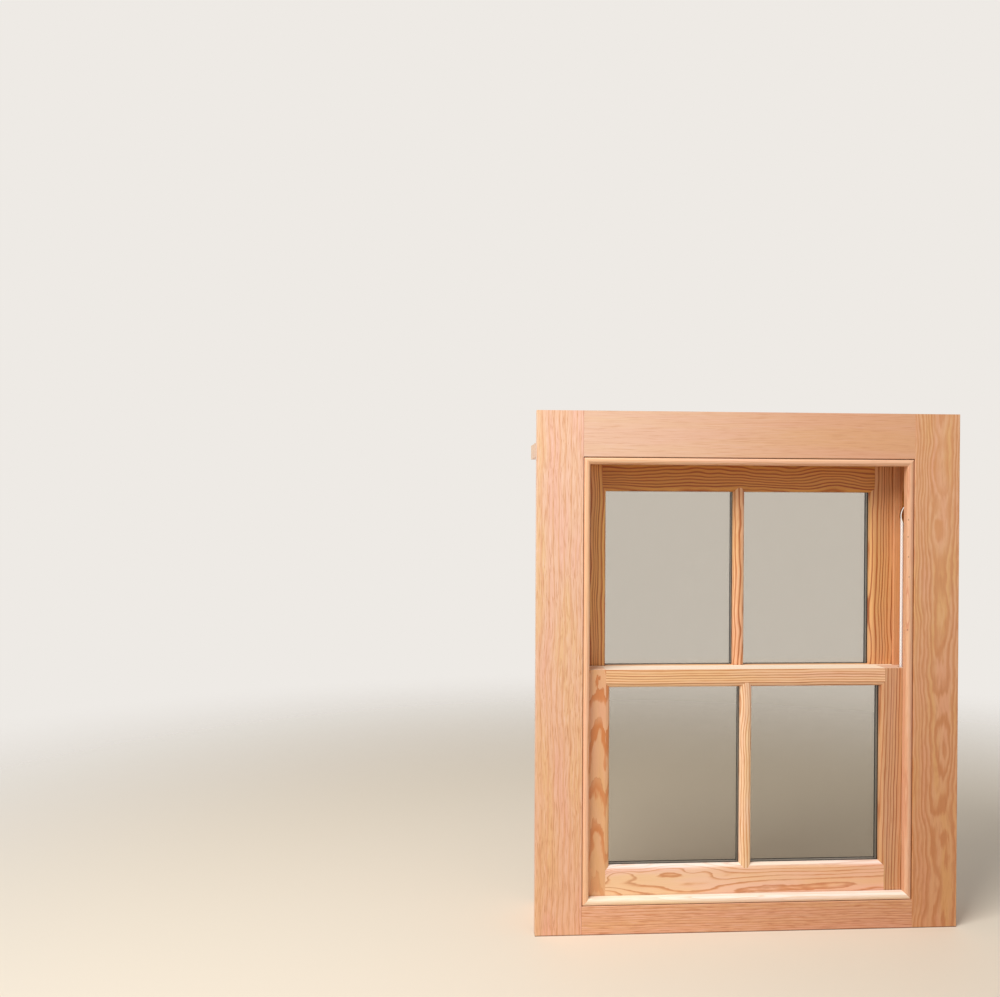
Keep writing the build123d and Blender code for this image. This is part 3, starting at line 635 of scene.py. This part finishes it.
def braided_cord():
    """White cotton cord in an eight-strand braid that follows it up, round its wheel and down."""
    material, g = new_finish("white_braid")
    x, y, z = g.place_mm()
    over = g.maths("ABSOLUTE", x) - wheel_x_mm
    beside = g.maths("ABSOLUTE", over)
    rise = g.maths("MAXIMUM", z - wheel_level_mm, 0.0)
    run = g.maths("ARCTAN2", rise, beside) * pitch_radius_mm + g.maths("MINIMUM", z - wheel_level_mm, 0.0)
    out = g.distance(beside, rise) - pitch_radius_mm
    lower, upper = track_mm["lower"], track_mm["upper"]
    in_lower = g.maths("LESS_THAN", y, (lower + upper) / 2)
    side = y - upper + in_lower * (upper - lower)
    turn = g.maths("ARCTAN2", side, out) * braid_crossings
    pitch = run * (2.0 * math.pi / braid_pitch_mm)
    plait = g.maths("COSINE", turn) * g.maths("COSINE", pitch)
    yarn = g.maths("SINE", turn * yarns_a_strand + pitch * yarns_a_strand)
    fuzz = g.noise(g.vector(x, y, z), scale=2.2, detail=3.0)
    height = plait * 0.5 + yarn * 0.08 + fuzz * 0.3
    # Painted shade: the valleys between the strands are painted darker than the raised strands
    colour = g.mix(g.step(plait, -0.7, 0.5), srgb(238, 236, 234), srgb(252, 251, 250))
    colour = g.scaled(colour, 0.95 + fuzz * 0.1)
    bump = g.make("Bump", inputs={"Strength": 0.45, "Distance": 0.0004, "Height": height})
    g.end_in("BsdfPrincipled", {
        "Base Color": colour, "Roughness": 0.7, "Normal": bump, "Specular IOR Level": 0.2,
        "Sheen Weight": 0.2})
    return material


def circle(centre, radius, first, second, facets):
    """Points round a centre, in the plane of two directions."""
    turns = [2 * math.pi * facet / facets for facet in range(facets)]
    return [centre + radius * (math.cos(turn) * first + math.sin(turn) * second) for turn in turns]


def round_piece(name, rods, material, smooth):
    """One mesh of closed round rods, each given as circles of points from end to end."""
    build = bmesh.new()
    for circles in rods:
        rings = [[build.verts.new(point) for point in points] for points in circles]
        for ring, following in zip(rings, rings[1:]):
            for here in range(len(ring)):
                after = (here + 1) % len(ring)
                build.faces.new((ring[here], ring[after], following[after], following[here]))
        build.faces.new(list(reversed(rings[0])))
        build.faces.new(rings[-1])
    bmesh.ops.recalc_face_normals(build, faces=build.faces)
    mesh = bpy.data.meshes.new(name)
    build.to_mesh(mesh)
    build.free()
    mesh.materials.append(material)
    for face in mesh.polygons:
        face.use_smooth = smooth and len(face.vertices) == 4
    return new_object(name, mesh)


def cord_piece(name, route, material):
    """A round cord along a route of points beside its wheel."""
    across = Vector((0.0, 1.0, 0.0))
    circles = []
    for here, point in enumerate(route):
        before = route[max(here - 1, 0)]
        after = route[min(here + 1, len(route) - 1)]
        outward = (after - before).normalized().cross(across)
        circles.append(circle(point, cord_radius, across, outward, cord_facets))
    return round_piece(name, [circles], material, smooth=True)


def hang_cords():
    """Each sash cord in two lengths that meet on top of its wheel, one on the sash, one on the weight."""
    material = braided_cord()
    wheel_x = wheel_x_mm / mm
    wheel_level = wheel_level_mm / mm
    pitch_radius = pitch_radius_mm / mm
    for sash in sashes:
        y = track_mm[sash] / mm
        for side, way in sides:
            node = "cord_%s_%s" % (sash, side)
            weight_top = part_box("weight_%s_%s" % (sash, side))[1][2]
            for end, body, held, foot in (
                    (-1.0, sash + "_sash", sash_fixing[sash], sash_fixing[sash]),
                    (1.0, "%s_weight_%s" % (sash, side), weight_top, weight_top - cord_in_weight)):
                route = []
                for step in range(bend_steps):
                    angle = math.pi / 2 * (1.0 - step / bend_steps)
                    route.append(Vector((way * (wheel_x + end * pitch_radius * math.cos(angle)), y,
                                         wheel_level + pitch_radius * math.sin(angle))))
                run_x = way * (wheel_x + end * pitch_radius)
                for step in range(run_steps + 1):
                    route.append(Vector((run_x, y, wheel_level + (foot - wheel_level) * step / run_steps)))
                piece = cord_piece("braid_%s_on_%s" % (node, body), route, material)
                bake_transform(piece)
                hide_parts(node)


def screw_nodes():
    """Geometry Nodes that drive a slotted countersunk screw at each point, away from the middle."""
    tree = bpy.data.node_groups.new("slotted_screws", "GeometryNodeTree")
    tree.interface.new_socket("Geometry", in_out="INPUT", socket_type="NodeSocketGeometry")
    for label in screw_sizes:
        tree.interface.new_socket(label, in_out="INPUT", socket_type="NodeSocketFloat")
    tree.interface.new_socket("Material", in_out="INPUT", socket_type="NodeSocketMaterial")
    tree.interface.new_socket("Geometry", in_out="OUTPUT", socket_type="NodeSocketGeometry")

    def add(kind, settings=None, links=None):
        node = tree.nodes.new(kind)
        for key, value in (settings or {}).items():
            setattr(node, key, value)
        for key, value in (links or {}).items():
            for source in value if isinstance(value, list) else [value]:
                if isinstance(source, bpy.types.NodeSocket):
                    tree.links.new(source, node.inputs[key])
                else:
                    node.inputs[key].default_value = source
        return node

    def maths(operation, first, second):
        return add("ShaderNodeMath", {"operation": operation}, {0: first, 1: second}).outputs[0]

    # The head is a cone with a slot cut across it, and the shank a rod behind it
    given = add("NodeGroupInput").outputs
    head_radius = maths("MULTIPLY", given["Head Diameter"], 0.5)
    shank_radius = maths("MULTIPLY", given["Shank Diameter"], 0.5)
    head_depth = maths("SUBTRACT", head_radius, shank_radius)
    shank_length = maths("SUBTRACT", given["Length"], head_depth)
    cone = add("GeometryNodeMeshCone", links={
        "Vertices": screw_head_facets, "Radius Top": shank_radius, "Radius Bottom": head_radius,
        "Depth": head_depth})
    slot_size = add("ShaderNodeCombineXYZ", links={
        0: maths("MULTIPLY", given["Head Diameter"], 1.2), 1: given["Slot Width"],
        2: maths("MULTIPLY", given["Slot Depth"], 2.0)})
    slot = add("GeometryNodeMeshCube", links={"Size": slot_size.outputs[0]})
    head = add("GeometryNodeMeshBoolean", {"operation": "DIFFERENCE"}, {
        "Mesh 1": cone.outputs["Mesh"], "Mesh 2": slot.outputs["Mesh"]})
    rod = add("GeometryNodeMeshCylinder", links={
        "Vertices": screw_shank_facets, "Radius": shank_radius, "Depth": shank_length})
    middle = add("ShaderNodeCombineXYZ", links={
        2: maths("ADD", head_depth, maths("MULTIPLY", shank_length, 0.5))})
    shank = add("GeometryNodeTransform", links={
        "Geometry": rod.outputs["Mesh"], "Translation": middle.outputs[0]})
    screw = add("GeometryNodeJoinGeometry", links={
        "Geometry": [head.outputs["Mesh"], shank.outputs["Geometry"]]})

    # Each one lies down towards its own side of the window and stops at a turn of its own
    place = add("ShaderNodeSeparateXYZ", links={0: add("GeometryNodeInputPosition").outputs[0]})
    lean = maths("MULTIPLY", maths("SIGN", place.outputs[0], 0.0), math.pi / 2)
    turn = add("ShaderNodeCombineXYZ", links={1: lean})
    driven = add("GeometryNodeInstanceOnPoints", links={
        "Points": given["Geometry"], "Instance": screw.outputs["Geometry"], "Rotation": turn.outputs[0]})
    chance = add("FunctionNodeRandomValue", {"data_type": "FLOAT"}, {3: math.pi, "Seed": screw_twist_seed})
    twist = add("ShaderNodeCombineXYZ", links={2: chance.outputs[1]})
    turned = add("GeometryNodeRotateInstances", links={
        "Instances": driven.outputs["Instances"], "Rotation": twist.outputs[0], "Local Space": True})
    solid = add("GeometryNodeRealizeInstances", links={"Geometry": turned.outputs["Instances"]})
    dressed = add("GeometryNodeSetMaterial", links={
        "Geometry": solid.outputs["Geometry"], "Material": given["Material"]})
    add("NodeGroupOutput", links={"Geometry": dressed.outputs["Geometry"]})
    return tree


def drive_screws(name, places, tree, material):
    """One mesh of the slotted screws whose heads stand at the given places."""
    mesh = bpy.data.meshes.new(name + "_places")
    mesh.from_pydata(places, [], [])
    piece = new_object(name, mesh)
    modifier = piece.modifiers.new("screws", "NODES")
    modifier.node_group = tree
    given = dict(screw_sizes, Material=material)
    for socket in tree.interface.items_tree:
        if socket.in_out == "INPUT" and socket.name in given:
            modifier[socket.identifier] = given[socket.name]
    ready = piece.evaluated_get(bpy.context.evaluated_depsgraph_get())
    made = bpy.data.meshes.new_from_object(ready)
    piece.modifiers.clear()
    piece.data = made
    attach(piece, "frame")
    return piece


def slip_nails(material):
    """The two wire nails through the tops of the parting slips: a flat head, a round shank and a point."""
    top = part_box("pocket_screws_and_slip_nails")[1][2]
    low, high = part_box("parting_slip_right")
    x, y = (low[0] + high[0]) / 2, (low[1] + high[1]) / 2
    right, up = Vector((1.0, 0.0, 0.0)), Vector((0.0, 0.0, 1.0))
    nails = []
    for _, way in sides:
        nails.append([circle(Vector((way * x, y + along, top - nail_radius)), nail_radius * share,
                             right, up, nail_facets) for along, share in nail_rings])
    piece = round_piece("slip_nails", nails, material, smooth=False)
    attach(piece, "frame")
    return piece


def fit_fixings(bright_brass, bare_steel):
    """Brass screws in the pulley faceplates, steel screws in the pockets, nails through the slips."""
    tree = screw_nodes()
    places = []
    for sash in sashes:
        for side, way in sides:
            low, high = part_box("pulley_case_%s_%s" % (sash, side))
            face_x = way * min(abs(low[0]), abs(high[0]))
            middle_y = (low[1] + high[1]) / 2
            places.append((face_x, middle_y, low[2] + faceplate_screw_inset))
            places.append((face_x, middle_y, high[2] - faceplate_screw_inset))
    screws = drive_screws("faceplate_screws", places, tree, bright_brass)
    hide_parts("pulley_screws")
    x, y, z = pocket_screw_place
    pocket_screws = drive_screws("pocket_screws", [(-x, y, z), (x, y, z)], tree, bare_steel)
    for piece in (pocket_screws, slip_nails(bare_steel)):
        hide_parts("pocket_screws_and_slip_nails")


def dress_hardware():
    """Dress glass, spacers, pulleys and weights, and fit the cords, screws and nails."""
    glass = clear_glass()
    bright_brass = brass()
    bare_steel = steel()
    iron = cast_iron()
    for sash in sashes:
        dress(sash + "_inner_panes", glass)
        dress(sash + "_outer_panes", glass)
        dress(sash + "_spacers", spacer_metal(sash + "_spacers"))
        for side, _ in sides:
            dress("pulley_case_%s_%s" % (sash, side), bright_brass)
            dress("pulley_wheel_%s_%s" % (sash, side), bright_brass)
            dress("weight_%s_%s" % (sash, side), iron)
    dress("pulley_axles", bare_steel)
    hang_cords()
    fit_fixings(bright_brass, bare_steel)


# Stage
def make_floor():
    """A wide pale floor at the window's foot, which fades out into the backdrop."""
    mesh = bpy.data.meshes.new("floor")
    corners = [(way_x * floor_reach, way_y * floor_reach, 0.0)
               for way_x, way_y in ((-1, -1), (1, -1), (1, 1), (-1, 1))]
    mesh.from_pydata(corners, [], [(0, 1, 2, 3)])
    floor = new_object("floor", mesh)
    material, g = new_finish("floor_paint")
    x, y, _ = g.place()
    beyond = g.step(g.distance(x, y), floor_fade_start, floor_fade_end)
    paint = g.make("BsdfPrincipled", inputs={
        "Base Color": srgb(*floor_colour), "Roughness": 0.6, "Specular IOR Level": 0.2})
    g.end_in("MixShader", {0: beyond, 1: paint, 2: g.make("BsdfTransparent")})
    mesh.materials.append(material)


def make_world():
    """An even pale light from all round, seen as the backdrop's colour."""
    world = bpy.data.worlds.new("studio")
    world.use_nodes = True
    bpy.context.scene.world = world
    g = Graph(world.node_tree)
    seen = g.make("LightPath", out="Is Camera Ray") + g.make("LightPath", out="Is Glossy Ray")
    seen = seen + g.make("LightPath", out="Is Transmission Ray")
    light = g.make("Background", inputs={"Color": sky_tint, "Strength": sky_strength})
    backdrop = g.make("Background", inputs={"Color": srgb(*backdrop_colour), "Strength": 1.0})
    g.end_in("MixShader", {0: g.maths("MINIMUM", seen, 1.0), 1: light, 2: backdrop}, output="OutputWorld")


def hang_lamp():
    """One wide soft lamp, high on the left and in front of the window."""
    lamp = bpy.data.lights.new("lamp", "AREA")
    lamp.shape = "SQUARE"
    lamp.size = lamp_size
    lamp.energy = lamp_power
    lamp.color = lamp_tint
    thing = new_object("lamp", lamp)
    thing.location = lamp_place
    target = (solid_box[0] + solid_box[1]) / 2
    thing.rotation_euler = (target - lamp_place).to_track_quat("-Z", "Y").to_euler()


def make_camera():
    """The camera of the photograph, with its small vertical shift."""
    data = bpy.data.cameras.new("camera")
    data.sensor_width = sensor_width_mm
    data.lens = sensor_width_mm * focal_pixels / image_width
    data.shift_y = (principal_row - image_height / 2) / image_width
    level_right = Vector((math.cos(camera_yaw), -math.sin(camera_yaw), 0.0))
    level_forward = Vector((math.sin(camera_yaw), math.cos(camera_yaw), 0.0))
    straight_up = Vector((0.0, 0.0, 1.0))
    forward = math.cos(camera_pitch) * level_forward + math.sin(camera_pitch) * straight_up
    upright = math.cos(camera_pitch) * straight_up - math.sin(camera_pitch) * level_forward
    right = math.cos(camera_roll) * level_right + math.sin(camera_roll) * upright
    up = math.cos(camera_roll) * upright - math.sin(camera_roll) * level_right
    turn = Matrix((right, up, -forward)).transposed()
    camera = new_object("camera", data)
    camera.matrix_world = Matrix.Translation(camera_place) @ turn.to_4x4()
    bpy.context.scene.camera = camera


make_camera()
make_world()
make_floor()
hang_lamp()
dress_timber()
dress_hardware()
bpy.context.scene.view_settings.view_transform = "Standard"
